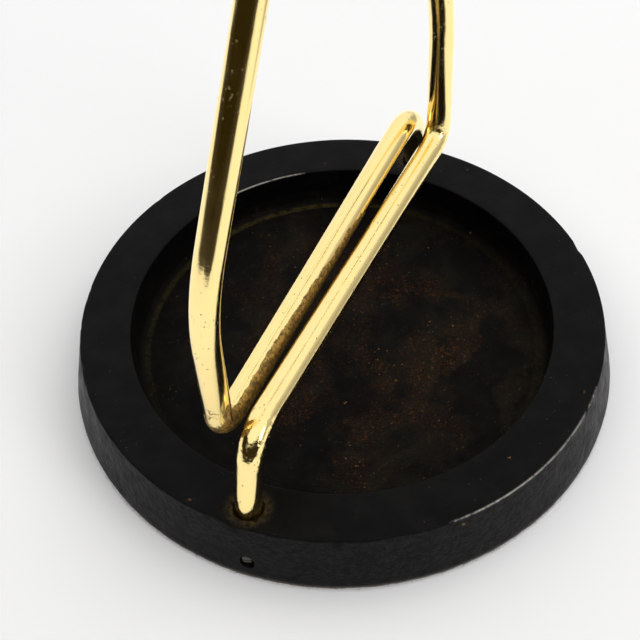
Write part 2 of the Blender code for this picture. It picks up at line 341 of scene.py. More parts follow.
def dish_colour(g, coords, place, radius):
    """Colour of the dish: brown-black iron with fine rust, dark bare patches, a rusty ring, and painted
    shade that darkens its left side.
    """
    cloud = g.noise(coords, 30.0, 6.0, 0.68, 0.5)
    # Rust thins towards the rim. It is also cut back towards the left, as part of the painted shade there.
    middle = g.maths("MULTIPLY", g.ramp(radius, 0.040, 0.078, 1.0, 0.25),
                     g.ramp(place.outputs[0], -0.060, 0.0, 0.35, 1.0))
    density = g.maths("MULTIPLY", g.ramp(cloud, 0.40, 0.62), middle)
    rough_coords = warped(g, coords, 900.0, 0.0012)
    fine = g.maths("MULTIPLY", g.ramp(g.noise(coords, 1500.0, 4.0, 0.8), 0.48, 0.60), density)
    grains = g.maths("MULTIPLY", g.ramp(g.noise(rough_coords, 800.0, 4.0, 0.8), 0.57, 0.64), density)
    gold = g.maths("MULTIPLY", g.spots(rough_coords, 380.0, 0.085, 0.06),
                   g.ramp(g.noise(coords, 60.0, 3.0, 0.6), 0.50, 0.64))
    pale = g.maths("MULTIPLY", g.spots(rough_coords, 560.0, 0.08, 0.05),
                   g.ramp(g.noise(coords, 95.0, 3.0, 0.6), 0.50, 0.62))
    flat = g.stretched(coords, (1.0, 1.0, 0.0))
    bare = g.ramp(g.noise(warped(g, flat, 90.0, 0.012), 24.0, 2.0), 0.60, 0.66)
    stain = g.ramp(g.noise(coords, 48.0, 6.0, 0.72, 0.6), 0.42, 0.66)
    dull = g.mix(stain, (0.0018, 0.0018, 0.0016, 1.0), (0.0062, 0.0056, 0.0036, 1.0))
    colour = g.mix(g.maths("MULTIPLY", fine, 0.70), dull, (0.034, 0.0125, 0.0040, 1.0))
    colour = g.mix(g.maths("MULTIPLY", grains, 0.80), colour, (0.085, 0.030, 0.008, 1.0))
    colour = g.mix(g.maths("MULTIPLY", gold, 0.75), colour, (0.17, 0.085, 0.026, 1.0))
    colour = g.mix(g.maths("MULTIPLY", pale, 0.6), colour, (0.085, 0.070, 0.040, 1.0))
    colour = g.mix(g.maths("MULTIPLY", bare, 0.85), colour, (0.0014, 0.0014, 0.0013, 1.0))
    foot_ring = g.maths("MULTIPLY", g.ramp(radius, DISH_RADIUS - 0.0062, DISH_RADIUS - 0.0048),
                        g.ramp(radius, DISH_RADIUS - 0.0040, DISH_RADIUS - 0.0026, 1.0, 0.0))
    shown = g.maths("ADD", 0.15, g.maths("MULTIPLY", near_azimuth(g, place, 130.0, 80.0), 0.75))
    foot_ring = g.maths("MULTIPLY", g.maths("MULTIPLY", foot_ring, shown),
                        g.ramp(g.noise(coords, 420.0, 6.0, 0.8), 0.36, 0.58))
    colour = g.mix(foot_ring, colour, (0.042, 0.032, 0.009, 1.0))
    # Painted shade: the dish darkens to near black towards the left, under the shade of its wall.
    return g.mix(g.ramp(place.outputs[0], -0.075, -0.02, 0.55, 0.0), colour, (0.0010, 0.0010, 0.0009, 1.0))


def brass_material():
    """Polished brass bar with fine lengthwise scratches, pits and brown tarnish."""
    material, g, shader = new_material("worn_brass")
    bar = g.node("ShaderNodeAttribute", attribute_name="bar").outputs["Vector"]
    tarnish = g.node("ShaderNodeAttribute", attribute_name="tarnish").outputs["Fac"]
    handled = g.node("ShaderNodeAttribute", attribute_name="handled").outputs["Fac"]
    bent = g.node("ShaderNodeAttribute", attribute_name="bent").outputs["Fac"]

    cloud = g.noise(bar, 75.0, 4.0, 0.6)
    blotch = g.noise(g.stretched(bar, (0.55, 1.0, 1.0)), 300.0, 6.0, 0.75, 0.5)
    patch = g.ramp(g.maths("ADD", g.maths("MULTIPLY", blotch, 0.95), g.maths("MULTIPLY", tarnish, 0.60)),
                   0.79, 0.88)
    patch = g.maths("MULTIPLY", patch, g.ramp(tarnish, 0.04, 0.22))
    ragged = warped(g, bar, 900.0, 0.0012)
    pits = g.maths("MULTIPLY", g.spots(ragged, 240.0, 0.07, 0.05), g.ramp(cloud, 0.52, 0.62))
    specks = g.maths("MULTIPLY", g.spots(g.stretched(ragged, (0.6, 1.0, 1.0)), 700.0, 0.13, 0.06),
                     g.ramp(g.noise(bar, 120.0, 3.0), 0.52, 0.64))
    fine = g.noise(g.stretched(bar, (0.03, 1.0, 1.0)), 5200.0, 2.0, 0.6)
    scratch = g.ramp(g.noise(g.stretched(bar, (0.05, 1.0, 1.0)), 1700.0, 3.0, 0.5), 0.64, 0.70)

    colour = g.mix(cloud, (0.94, 0.73, 0.30, 1.0), (0.97, 0.78, 0.36, 1.0))
    colour = g.mix(g.maths("MULTIPLY", scratch, 0.25), colour, (0.60, 0.40, 0.13, 1.0))
    colour = g.mix(g.maths("MULTIPLY", g.maths("ADD", pits, specks, clamp=True), 0.7), colour,
                   (0.24, 0.14, 0.05, 1.0))
    old = g.mix(g.ramp(g.noise(bar, 620.0, 6.0, 0.8), 0.42, 0.58), (0.050, 0.022, 0.004, 1.0),
                (0.38, 0.215, 0.040, 1.0))
    colour = g.mix(g.maths("MULTIPLY", patch, 0.92), colour, old)
    g.feed(shader.inputs["Base Color"], colour)
    g.feed(shader.inputs["Metallic"], g.maths("SUBTRACT", 1.0, g.maths("MULTIPLY", patch, 0.35)))
    shader.inputs["Specular IOR Level"].default_value = 0.15

    roughness = g.ramp(cloud, 0.3, 0.75, 0.09, 0.16)
    roughness = g.maths("ADD", roughness, g.maths("MULTIPLY", handled, 0.10))
    roughness = g.maths("ADD", roughness, g.maths("MULTIPLY", patch, 0.30))
    roughness = g.maths("ADD", roughness, g.maths("MULTIPLY", pits, 0.25), clamp=True)
    g.feed(shader.inputs["Roughness"], roughness)

    dents = g.noise(bar, 260.0, 3.0, 0.6)
    relief = g.maths("ADD", g.maths("MULTIPLY", fine, 0.10), g.maths("MULTIPLY", blotch, 0.05))
    relief = g.maths("ADD", relief, g.maths("MULTIPLY", g.noise(bar, 60.0, 2.0), 0.3))
    relief = g.maths("ADD", relief, g.maths("MULTIPLY", g.maths("MULTIPLY", dents, bent), 3.0))
    relief = g.maths("SUBTRACT", relief, g.maths("MULTIPLY", g.maths("ADD", pits, specks), 0.4))
    relief = g.maths("SUBTRACT", relief, g.maths("MULTIPLY", patch, 0.20))
    g.feed(shader.inputs["Normal"], g.bump(relief, 0.00012))
    return material


def braze_material():
    """Brazing metal: duller and a little coppery, with a ripple left by the torch."""
    material, g, shader = new_material("brazing_metal")
    coords = g.node("ShaderNodeTexCoord").outputs["Object"]
    tone = g.noise(coords, 500.0, 4.0)
    g.feed(shader.inputs["Base Color"], g.mix(tone, (0.62, 0.40, 0.15, 1.0), (0.80, 0.60, 0.28, 1.0)))
    shader.inputs["Metallic"].default_value = 1.0
    g.feed(shader.inputs["Roughness"], g.ramp(tone, 0.3, 0.7, 0.2, 0.4))
    g.feed(shader.inputs["Normal"], g.bump(g.noise(coords, 900.0, 3.0), 0.00015))
    return material


def steel_material():
    """Oiled dark steel of the set screws."""
    material, g, shader = new_material("oiled_steel")
    coords = g.node("ShaderNodeTexCoord").outputs["Object"]
    tone = g.noise(coords, 800.0, 4.0)
    g.feed(shader.inputs["Base Color"], g.mix(tone, (0.05, 0.045, 0.04, 1.0), (0.16, 0.14, 0.12, 1.0)))
    shader.inputs["Metallic"].default_value = 0.9
    g.feed(shader.inputs["Roughness"], g.ramp(tone, 0.3, 0.7, 0.3, 0.55))
    g.feed(shader.inputs["Normal"], g.bump(g.noise(coords, 2500.0, 3.0), 0.00005))
    return material


def felt_material():
    """Brown felt with short matted fibres."""
    material, g, shader = new_material("brown_felt")
    coords = g.node("ShaderNodeTexCoord").outputs["Object"]
    fibres = g.noise(g.stretched(coords, (1.0, 1.0, 2.5)), 1600.0, 5.0, 0.7, 1.5)
    g.feed(shader.inputs["Base Color"], g.mix(fibres, (0.030, 0.022, 0.016, 1.0), (0.12, 0.085, 0.06, 1.0)))
    shader.inputs["Roughness"].default_value = 0.95
    shader.inputs["Sheen Weight"].default_value = 0.4
    g.feed(shader.inputs["Normal"], g.bump(fibres, 0.0004))
    return material


# Mesh helpers


def set_float(mesh, name, values):
    attribute = mesh.attributes.new(name, "FLOAT", "POINT")
    attribute.data.foreach_set("value", np.array(values, dtype=np.float32))


def smooth_step(value, low, high):
    share = min(1.0, max(0.0, (value - low) / (high - low)))
    return share * share * (3 - 2 * share)


def finish_mesh(name, bm, sharp_angle=35.0):
    bmesh.ops.recalc_face_normals(bm, faces=bm.faces)
    mesh = bpy.data.meshes.new(name)
    bm.to_mesh(mesh)
    bm.free()
    mesh.shade_smooth()
    mesh.set_sharp_from_angle(angle=math.radians(sharp_angle))
    obj = bpy.data.objects.new(name, mesh)
    bpy.context.scene.collection.objects.link(obj)
    return obj


def give(obj, material, body, slot, *nodes):
    """Material, body and the CAD nodes that a piece stands for; slot is not used."""
    obj.data.materials.append(material)
    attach(obj, body)
    if nodes:
        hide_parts(*nodes)


def apply_booleans(obj, cutters):
    """Cut each cutter out of obj and delete the cutters."""
    for cutter in cutters:
        boolean = obj.modifiers.new(cutter.name, "BOOLEAN")
        boolean.operation = "DIFFERENCE"
        boolean.object = cutter
    depsgraph = bpy.context.evaluated_depsgraph_get()
    mesh = bpy.data.meshes.new_from_object(obj.evaluated_get(depsgraph), depsgraph=depsgraph)
    obj.modifiers.clear()
    obj.data = mesh
    for cutter in cutters:
        bpy.data.objects.remove(cutter, do_unlink=True)


def revolve(profile, segments):
    """Spin a profile of (radius, height) points that starts and ends on the Z axis."""
    bm = bmesh.new()
    verts = [bm.verts.new((radius, 0.0, height)) for radius, height in profile]
    edges = [bm.edges.new(pair) for pair in zip(verts, verts[1:])]
    bmesh.ops.spin(bm, geom=verts + edges, cent=(0, 0, 0), axis=(0, 0, 1),
                   angle=2 * math.pi, steps=segments, use_merge=True)
    bmesh.ops.remove_doubles(bm, verts=bm.verts, dist=1e-6)
    return bm


def arc(centre, radius, start, end, steps):
    """Points of a profile arc; the angles are in degrees from +radius towards +height."""
    angles = [math.radians(start + (end - start) * i / steps) for i in range(steps + 1)]
    return [(centre[0] + radius * math.cos(a), centre[1] + radius * math.sin(a)) for a in angles]


def line(start, end, steps):
    """Points between two profile points, without the ends."""
    shares = [i / steps for i in range(1, steps)]
    return [(start[0] + (end[0] - start[0]) * s, start[1] + (end[1] - start[1]) * s)
            for s in shares]


def join_rings(bm, rings, closed):
    """Faces between rings of vertices, with an end face on each end unless the rings close up."""
    pairs = list(zip(rings, rings[1:]))
    if closed:
        pairs.append((rings[-1], rings[0]))
    for lower, upper in pairs:
        for j in range(len(lower)):
            k = (j + 1) % len(lower)
            bm.faces.new((lower[j], lower[k], upper[k], upper[j]))
    if not closed:
        bm.faces.new(rings[0])
        bm.faces.new(rings[-1])


# Base


def casting_profile():
    """Outline of the casting from the underside, over the rim, to the middle of the dish."""
    foot = arc((BASE_FOOT_RADIUS - FOOT_ROUND, CASTING_BOTTOM + FOOT_ROUND), FOOT_ROUND, -90, 0, 3)
    outer = arc((BASE_TOP_RADIUS - OUTER_EDGE_ROUND, BASE_HEIGHT - OUTER_EDGE_ROUND),
                OUTER_EDGE_ROUND, 0, 90, 5)
    inner = arc((DISH_RADIUS + INNER_EDGE_ROUND, BASE_HEIGHT - INNER_EDGE_ROUND),
                INNER_EDGE_ROUND, 90, 180, 5)
    wall_foot = DISH_RADIUS - DISH_DRAFT
    cove = arc((wall_foot - DISH_COVE, DISH_FLOOR + DISH_COVE), DISH_COVE, 0, -90, 6)
    middle = (0, DISH_FLOOR + DISH_CROWN)
    points = [(0, CASTING_BOTTOM)] + foot
    points += line(foot[-1], outer[0], SIDE_STEPS) + outer
    points += line(outer[-1], inner[0], RIM_STEPS) + inner
    points += line(inner[-1], cove[0], 6) + cove
    return points + line(cove[-1], middle, FLOOR_STEPS) + [middle]


def rough_casting(bm):
    """Uneven cast surface: waves in the side, a slightly worn outer edge and a pitted dish."""
    for vert in bm.verts:
        place = vert.co.copy()
        radius = math.hypot(place.x, place.y)
        if radius < 1e-5 or place.z < CASTING_BOTTOM + 1e-5:
            continue
        outward = Vector((place.x, place.y, 0.0)) / radius
        wave = noise.noise(place * WAVE_SCALE)
        small = noise.noise(place * GRAIN_SCALE + Vector((7.0, 3.0, 1.0)))
        on_side = radius > BASE_TOP_RADIUS - 0.0003
        in_dish = radius < DISH_RADIUS and place.z < DISH_FLOOR + DISH_COVE
        if on_side:
            vert.co -= outward * (0.00012 + 0.00022 * wave * wave + 0.00007 * abs(small))
        elif in_dish:
            vert.co.z += 0.00016 * wave + 0.00008 * small
        else:
            vert.co.z -= 0.00003 + 0.00003 * wave
        from_edge = math.hypot(radius - BASE_TOP_RADIUS, place.z - BASE_HEIGHT)
        edge = max(0.0, 1.0 - from_edge / NICK_WIDTH)
        nick = max(0.0, noise.noise(place * NICK_SCALE + Vector((0.0, 9.0, 4.0))) - 0.30)
        vert.co -= (outward + Vector((0, 0, 1))) * (NICK_DEPTH * nick * edge)


def foot_point(turn, height):
    azimuth = FOOT_AZIMUTH + turn
    return Vector((FOOT_RADIUS * math.cos(azimuth), FOOT_RADIUS * math.sin(azimuth), height))


def screw_direction(turn):
    azimuth = SCREW_AZIMUTH + turn
    return Vector((math.cos(azimuth), math.sin(azimuth), 0.0))


def screw_matrix(turn, start):
    """Frame whose Z axis runs out along a set screw, from a distance beside the socket's axis."""
    direction = screw_direction(turn)
    place = foot_point(turn, SCREW_HEIGHT) + direction * start
    return Matrix.Translation(place) @ direction.to_track_quat("Z", "X").to_matrix().to_4x4()


def casting_side_radius(height):
    """Radius of the casting's tapered side at a height."""
    low = CASTING_BOTTOM + FOOT_ROUND
    high = BASE_HEIGHT - OUTER_EDGE_ROUND
    share = (height - low) / (high - low)
    return BASE_FOOT_RADIUS + (BASE_TOP_RADIUS - BASE_FOOT_RADIUS) * share


def screw_run():
    """Distance along a screw's axis from the socket's axis to the casting's side."""
    swing = SCREW_AZIMUTH - FOOT_AZIMUTH
    aside = FOOT_RADIUS * math.sin(swing)
    return math.sqrt(casting_side_radius(SCREW_HEIGHT) ** 2 - aside ** 2) \
        - FOOT_RADIUS * math.cos(swing)


def socket_cutter(side):
    mouth = SOCKET_RADIUS + SOCKET_CHAMFER
    over = 0.002
    profile = [(0, FOOT_BOTTOM - GAP), (SOCKET_RADIUS, FOOT_BOTTOM - GAP),
               (SOCKET_RADIUS, BASE_HEIGHT - SOCKET_CHAMFER), (mouth, BASE_HEIGHT - 0.00005),
               (mouth, BASE_HEIGHT + over), (0, BASE_HEIGHT + over)]
    cutter = finish_mesh(f"cutter_socket_{side}", revolve(profile, SOCKET_SEGMENTS))
    cutter.location = foot_point(TURNS[side], 0.0)
    return cutter


def screw_hole_cutter(side):
    radius = SCREW_RADIUS + SCREW_CLEARANCE
    length = screw_run() + 0.005
    sink = 0.0005
    profile = [(0, 0), (radius, 0), (radius, screw_run() - sink), (radius + sink * 1.6, length),
               (0, length)]
    cutter = finish_mesh(f"cutter_screw_{side}", revolve(profile, 40))
    cutter.matrix_world = screw_matrix(TURNS[side], 0.0)
    return cutter


def mark_wear(mesh):
    """Vertex values for the shader: worn edges of the rim, and the stain round each socket."""
    worn = []
    stained = []
    sockets = [foot_point(turn, BASE_HEIGHT) for turn in TURNS.values()]
    for vert in mesh.vertices:
        radius = math.hypot(vert.co.x, vert.co.y)
        drop = BASE_HEIGHT - vert.co.z
        outer = math.hypot(radius - BASE_TOP_RADIUS, drop)
        inner = math.hypot(radius - DISH_RADIUS, drop)
        from_edge = min(outer / OUTER_WEAR_WIDTH, inner / INNER_WEAR_WIDTH)
        worn.append(min(1.0, WEAR_CONTRAST * max(0.0, 1.0 - from_edge)))
        beside = min((vert.co - socket).length for socket in sockets) - SOCKET_RADIUS
        stained.append(1.0 - smooth_step(beside, STAIN_START, STAIN_END))
    set_float(mesh, "worn_edge", worn)
    set_float(mesh, "socket_stain", stained)


def build_casting(material):
    bm = revolve(casting_profile(), BASE_SEGMENTS)
    rough_casting(bm)
    casting = finish_mesh("iron_dish", bm, CASTING_SHARP_ANGLE)
    cutters = [socket_cutter(side) for side in TURNS] + [screw_hole_cutter(side) for side in TURNS]
    bpy.context.view_layer.update()
    apply_booleans(casting, cutters)
    mark_wear(casting.data)
    casting.data.set_sharp_from_angle(angle=math.radians(CASTING_SHARP_ANGLE))
    give(casting, material, "base", "black_iron", "base_casting")


def build_felt(material):
    """Felt disc with a soft, slightly ragged edge."""
    radius, _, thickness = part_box("felt_pad")[1]
    soft = thickness / 2
    edge = arc((radius - soft, soft), soft, -90, 90, 10)
    inner = [(radius * share, 0.0) for share in (0.0, 0.5, 0.9)]
    top = [(radius * share, thickness) for share in (0.9, 0.5, 0.0)]
    bm = revolve(inner + edge + top, FELT_SEGMENTS)
    for vert in bm.verts:
        reach = math.hypot(vert.co.x, vert.co.y)
        if reach > radius - soft:
            fray = noise.noise(vert.co * 700.0) * 0.5 + noise.noise(vert.co * 180.0) * 0.5
            vert.co *= 1.0 - FELT_FRAY * max(0.0, fray + 0.25)
            vert.co.z = min(max(vert.co.z, 0.0), thickness)
    felt = finish_mesh("felt_underside", bm, 80.0)
    give(felt, material, "base", "brown_felt", "felt_pad")


def build_fibres(material):
    """Short stray fibres standing out of the edge of the felt."""
    rng = random.Random(11)
    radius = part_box("felt_pad")[1][0]
    curve = bpy.data.curves.new("felt_fibres", "CURVE")
    curve.dimensions = "3D"
    curve.bevel_depth = FIBRE_RADIUS
    curve.bevel_resolution = 0
    for _ in range(FIBRE_COUNT):
        angle = rng.uniform(0, 2 * math.pi)
        height = rng.uniform(0.0003, 0.0012)
        length = rng.uniform(0.0004, 0.0016)
        swing = rng.uniform(-1.2, 1.2)
        spline = curve.splines.new("POLY")
        spline.points.add(3)
        for i, point in enumerate(spline.points):
            share = i / 3
            reach = radius - 0.0007 + length * share
            turn = angle + swing * length * share * share / radius
            lift = height + 0.0002 * math.sin(3.0 * share + angle * 40)
            point.co = (reach * math.cos(turn), reach * math.sin(turn), lift, 1.0)
    fibres = bpy.data.objects.new("felt_fibres", curve)
    bpy.context.scene.collection.objects.link(fibres)
    give(fibres, material, "base", "brown_felt")


def build_screw(side, material):
    """Headless slotted screw with a real thread."""
    point = ROD_RADIUS + GAP
    length = screw_run() - SCREW_RECESS - point
    bm = bmesh.new()
    rings = []
    for i in range(SCREW_STEPS + 1):
        height = length * i / SCREW_STEPS
        ring = []
        for j in range(SCREW_SIDES):
            angle = 2 * math.pi * j / SCREW_SIDES
            phase = (height / SCREW_PITCH - angle / (2 * math.pi)) % 1.0
            groove = SCREW_THREAD_DEPTH * abs(2 * phase - 1)
            end = min(height, length - height)
            radius = min(SCREW_RADIUS - groove, SCREW_RADIUS * SCREW_POINT_SHARE + end)
            ring.append(bm.verts.new((radius * math.cos(angle), radius * math.sin(angle), height)))
        rings.append(ring)
    join_rings(bm, rings, closed=False)
    screw = finish_mesh(f"slotted_screw_{side}", bm, 40.0)
    slot = bmesh.new()
    bmesh.ops.create_cube(slot, size=1.0)
    bmesh.ops.scale(slot, vec=(SCREW_SLOT_WIDTH, 6 * SCREW_RADIUS, 2 * SCREW_SLOT_DEPTH),
                    verts=slot.verts)
    bmesh.ops.translate(slot, vec=(0, 0, length), verts=slot.verts)
    cutter = finish_mesh(f"cutter_slot_{side}", slot)
    apply_booleans(screw, [cutter])
    screw.data.transform(screw_matrix(TURNS[side], point))
    give(screw, material, f"set_screw_{side}", "dark_steel", f"set_screw_{side}")


# Brass frame


def polar(radius, azimuth, height):
    return Vector((radius * math.cos(azimuth), radius * math.sin(azimuth), height))


def aimed_beside_axis(point, miss):
    """Level direction from a point across the base that passes the axis at a given distance."""
    distance = math.hypot(point.x, point.y)
    azimuth = math.atan2(-point.y, -point.x) - math.asin(miss / distance)
    return Vector((math.cos(azimuth), math.sin(azimuth), 0.0))


def beyond_axis(start, miss, reach, height):
    """Point past the axis on a level line that leaves start and passes the axis at miss."""
    heading = aimed_beside_axis(start, miss)
    aside = Vector((heading.y, -heading.x, 0.0))
    return heading * reach + aside * miss + Vector((0, 0, height))


def ring_meeting_point():
    """Point on the ring's centre line that the upper length of the front rod aims at."""
    shoulder = polar(SHOULDER_RADIUS, SHOULDER_AZIMUTH, SHOULDER_HEIGHT)
    miss = ROD_RADIUS + WAIST_GAP / 2
    reach = math.sqrt(RING_RADIUS ** 2 - miss ** 2)
    return beyond_axis(shoulder, miss, reach, RING_HEIGHT)


def rod_end_line():
    """End point of the front rod under the ring, and its direction there."""
    shoulder = polar(SHOULDER_RADIUS, SHOULDER_AZIMUTH, SHOULDER_HEIGHT)
    target = ring_meeting_point()
    direction = (target - shoulder).normalized()
    ring_curve = ROD_RADIUS ** 2 / (2 * RING_RADIUS)
    return target - direction * (RING_TUBE_RADIUS + GAP + ring_curve), direction


def rod_corners(elbow_rise):
    """Corners of the rod whose foot is in the front socket, from its foot to the ring."""
    foot = foot_point(0.0, FOOT_BOTTOM)
    foot_bend = foot_point(0.0, BASE_HEIGHT + FOOT_BEND_RISE)
    elbow = polar(FOOT_RADIUS - ELBOW_INSET, FOOT_AZIMUTH, BASE_HEIGHT + elbow_rise)
    knee = beyond_axis(elbow, RUN_MISS, KNEE_REACH, KNEE_HEIGHT)
    shoulder = polar(SHOULDER_RADIUS, SHOULDER_AZIMUTH, SHOULDER_HEIGHT)
    return [foot, foot_bend, elbow, knee, shoulder, rod_end_line()[0]]


def bend_limit(before, corner, after, turn):
    """Largest bend radius whose arc takes up less than half of both neighbouring lengths."""
    room = 0.49 * min((corner - before).length, (after - corner).length)
    return room / math.tan(turn / 2)


def rounded_route(corners, radii):
    """Closely spaced points along a bar through the corners, with an arc at each bend."""
    route = [corners[0]]
    for before, corner, after, radius in zip(corners, corners[1:], corners[2:], radii):
        into = (corner - before).normalized()
        out = (after - corner).normalized()
        turn = into.angle(out)
        bend = min(radius, bend_limit(before, corner, after, turn))
        start = corner - into * (bend * math.tan(turn / 2))
        inward = (out - into * into.dot(out)).normalized()
        centre = start + inward * bend
        steps = max(4, math.ceil(turn * bend / ROD_STEP))
        for i in range(steps + 1):
            angle = turn * i / steps
            route.append(centre - inward * bend * math.cos(angle) + into * bend * math.sin(angle))
    return route + [corners[-1]]


def evenly_spaced(points, step):
    """Points at an even step along a route, with the slight smoothing that real bends have."""
    route = np.array([list(p) for p in points])
    lengths = np.concatenate([[0], np.cumsum(np.linalg.norm(np.diff(route, axis=0), axis=1))])
    count = max(2, round(lengths[-1] / step))
    along = np.linspace(0, lengths[-1], count + 1)
    even = np.stack([np.interp(along, lengths, route[:, axis]) for axis in range(3)], axis=1)
    reach = round(3 * ROD_SMOOTHING / step)
    offsets = np.arange(-reach, reach + 1)
    weights = np.exp(-0.5 * (offsets * step / ROD_SMOOTHING) ** 2)
    weights /= weights.sum()
    smooth = even.copy()
    inside = slice(reach, len(even) - reach)
    smooth[inside] = sum(w * even[reach + o:len(even) - reach + o]
                         for w, o in zip(weights, offsets))
    return [Vector(p) for p in smooth], along


def sweep(name, points, along, radius, closed, end_round=0.0):
    """Round bar along the points, with vertex attributes that say where on the bar a point is."""
    count = len(points)
    if closed:
        tangents = [(points[(i + 1) % count] - points[i - 1]).normalized() for i in range(count)]
    else:
        ends = [max(i - 1, 0) for i in range(count)], [min(i + 1, count - 1) for i in range(count)]
        tangents = [(points[b] - points[a]).normalized() for a, b in zip(*ends)]
    side = tangents[0].orthogonal().normalized()
    bm = bmesh.new()
    rings = []
    coordinates = []
    bent = []
    for i, (point, tangent) in enumerate(zip(points, tangents)):
        turning = 0.0 if closed else tangents[max(i - 2, 0)].angle(tangents[min(i + 2, count - 1)])
        bent += [min(1.0, turning / FULLY_BENT)] * ROD_SIDES
        side = (side - tangent * side.dot(tangent)).normalized()
        across = tangent.cross(side)
        from_end = end_round if closed else min(along[i], along[-1] - along[i])
        size = radius - max(0.0, end_round - from_end)
        ring = []
        for j in range(ROD_SIDES):
            angle = 2 * math.pi * j / ROD_SIDES
            offset = side * math.cos(angle) + across * math.sin(angle)
            ring.append(bm.verts.new(point + offset * size))
            coordinates.append((along[i], radius * math.cos(angle), radius * math.sin(angle)))
        rings.append(ring)
    join_rings(bm, rings, closed)
    obj = finish_mesh(name, bm, 60.0)
    mesh = obj.data
    bar = mesh.attributes.new("bar", "FLOAT_VECTOR", "POINT")
    bar.data.foreach_set("vector", np.array(coordinates, dtype=np.float32).ravel())
    set_float(mesh, "bent", bent)
    return obj


def tarnish_amount(side, place, normal):
    """How brown a point of a bar's surface is: most on the side of its run near its twin."""
    rotation = Matrix.Rotation(-TURNS[side], 3, "Z")
    local = rotation @ place
    facing = rotation @ normal
    if local.z >= TARNISH_TOP:
        return 0.0
    heading = Vector((math.cos(RUN_AZIMUTH), math.sin(RUN_AZIMUTH), 0.0))
    reach = local.dot(heading)
    twin = Vector((-heading.y, heading.x, TARNISH_LIFT)).normalized()
    on_run = smooth_step(reach, -0.050, -0.015) * (1 - smooth_step(reach, 0.078, 0.086))
    limit = 0.62 - 0.42 * smooth_step(reach, -0.03, 0.07)
    strip = on_run * smooth_step(facing.dot(twin), limit, limit + 0.5)
    near_knee = 1.0 - min(1.0, abs(reach - KNEE_TARNISH_REACH) / 0.010)
    under = near_knee * smooth_step(-facing.z, -0.35, 0.25)
    return max(strip, under) * TARNISH_SHARE[side]


def build_rod(side, material):
    radii = [FOOT_BEND_RADIUS, ELBOW_BEND_RADIUS, KNEE_BEND_RADIUS, SHOULDER_BEND_RADIUS]
    route = rounded_route(rod_corners(ELBOW_RISES[side]), radii)
    rotation = Matrix.Rotation(TURNS[side], 3, "Z")
    points, along = evenly_spaced([rotation @ p for p in route], ROD_STEP)
    rod = sweep(f"brass_rod_{side}", points, along, ROD_RADIUS, False, ROD_END_ROUND)
    mesh = rod.data
    set_float(mesh, "tarnish", [tarnish_amount(side, v.co, v.normal) for v in mesh.vertices])
    set_float(mesh, "handled", [smooth_step(v.co.z, 0.13, 0.3) * 0.4 for v in mesh.vertices])
    give(rod, material, "frame", "polished_brass", f"rod_{side}")


def build_ring(material):
    angles = [2 * math.pi * i / RING_SEGMENTS for i in range(RING_SEGMENTS)]
    points = [polar(RING_RADIUS, angle, RING_HEIGHT) for angle in angles]
    along = [RING_RADIUS * angle for angle in angles]
    ring = sweep("brass_ring", points, along, RING_TUBE_RADIUS, True)
    mesh = ring.data
    set_float(mesh, "tarnish", [0.25 * smooth_step(-v.normal.z, 0.5, 1.0) for v in mesh.vertices])
    set_float(mesh, "handled", [0.5] * len(mesh.vertices))
    give(ring, material, "frame", "polished_brass", "top_ring")


def ring_surface_point(place):
    """Nearest point to place on the surface of the ring."""
    level = Vector((place.x, place.y, 0.0)).normalized() * RING_RADIUS
    centre = Vector((level.x, level.y, RING_HEIGHT))
    return centre + (place - centre).normalized() * (RING_TUBE_RADIUS + 0.00005)


def build_fillet(side, material):
    """Brazed joint that sweeps from the rod on to the ring in a hollow curve."""
    rotation = Matrix.Rotation(TURNS[side], 3, "Z")
    end, direction = rod_end_line()
    end = rotation @ end
    direction = rotation @ direction
    side_axis = direction.orthogonal().normalized()
    across = direction.cross(side_axis)
    grip = ROD_RADIUS + FILLET_SKIN
    bm = bmesh.new()
    rings = []
    for i in range(FILLET_STEPS + 1):
        share = i / FILLET_STEPS
        ring = []
        for j in range(FILLET_SIDES):
            angle = 2 * math.pi * j / FILLET_SIDES
            out = side_axis * math.cos(angle) + across * math.sin(angle)
            ragged = 1.0 + FILLET_RAGGED * noise.noise(out * 2.5)
            start = end + out * grip - direction * (FILLET_LENGTH * ragged)
            corner = end + out * grip
            landing = ring_surface_point(end + out * (ROD_RADIUS + FILLET_FLARE * ragged)
                                         + direction * 0.0015)
            ring.append(bm.verts.new(start * (1 - share) ** 2 + corner * 2 * share * (1 - share)
                                     + landing * share ** 2))
        rings.append(ring)
    join_rings(bm, rings, closed=False)
    fillet = finish_mesh(f"brazed_joint_{side}", bm, 70.0)
    give(fillet, material, "frame", "brazing_metal", f"braze_fillet_{side}")


# Stage


def floor_material():
    """Plain pale table. In reflections it is dark near the camera and far left, dim at the right."""
    material, g, shader = new_material("pale_floor")
    coords = g.node("ShaderNodeTexCoord").outputs["Object"]
    place = g.node("ShaderNodeSeparateXYZ", {0: coords})
    aside = g.maths("ABSOLUTE", place.outputs[0])
    wedge = g.maths("ADD", place.outputs[1], g.maths("MULTIPLY", aside, 0.8))
    near = g.ramp(wedge, -0.58, -0.42, 1.0, 0.0)
    left = g.maths("MULTIPLY", g.ramp(place.outputs[0], -0.85, -0.65, 1.0, 0.0),
                   g.ramp(place.outputs[1], 0.25, 0.45, 1.0, 0.0))
    right = g.maths("MULTIPLY", g.ramp(place.outputs[0], 0.20, 0.26),
                    g.ramp(place.outputs[1], -0.12, 0.0))
    reflected = g.node("ShaderNodeLightPath").outputs["Is Glossy Ray"]
    colour = g.mix(reflected, grey(FLOOR_SHADE), grey(0.99))
    colour = g.mix(g.maths("MULTIPLY", right, reflected), colour, grey(0.42))
    dark = g.maths("MULTIPLY", g.maths("MAXIMUM", near, left), reflected)
    colour = g.mix(dark, colour, DARK_FLOOR)
    g.feed(shader.inputs["Base Color"], colour)
    shader.inputs["Roughness"].default_value = 0.75
    shader.inputs["Specular IOR Level"].default_value = 0.1
    return material


